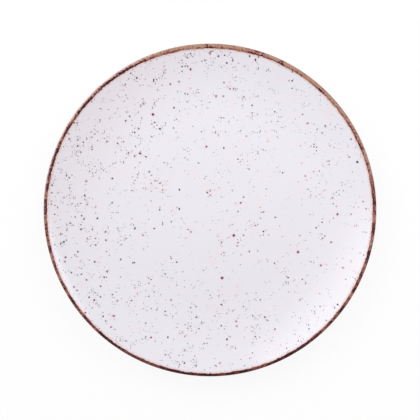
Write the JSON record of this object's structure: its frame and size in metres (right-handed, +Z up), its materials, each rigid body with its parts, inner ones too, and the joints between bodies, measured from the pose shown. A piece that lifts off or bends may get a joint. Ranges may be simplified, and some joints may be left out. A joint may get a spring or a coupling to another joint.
{
  "type": "coupe plate",
  "caption": "Round shallow coupe dinner plate in speckled white glazed porcelain with a brown band over its lip, standing on a bare foot ring.",
  "frame": {"origin": "centre of the foot ring's standing edge, on the table", "axes": "+Z up along the plate's axis of symmetry; +Y towards the top of the picture and +X towards its right"},
  "size_m": [0.27, 0.27, 0.025],
  "materials": {
    "biscuit": "bare fired porcelain, matt",
    "speckled_glaze": "glossy white glaze with fine iron-brown specks",
    "brown_band_glaze": "glossy iron-brown band glaze",
    "underside_glaze": "glossy white glaze"
  },
  "bodies": {
    "root": {"biscuit_body": "biscuit", "face_glaze": "speckled_glaze", "rim_band": "brown_band_glaze", "underside_glaze": "underside_glaze", "foot_recess_glaze": "underside_glaze"}
  },
  "joints": []
}
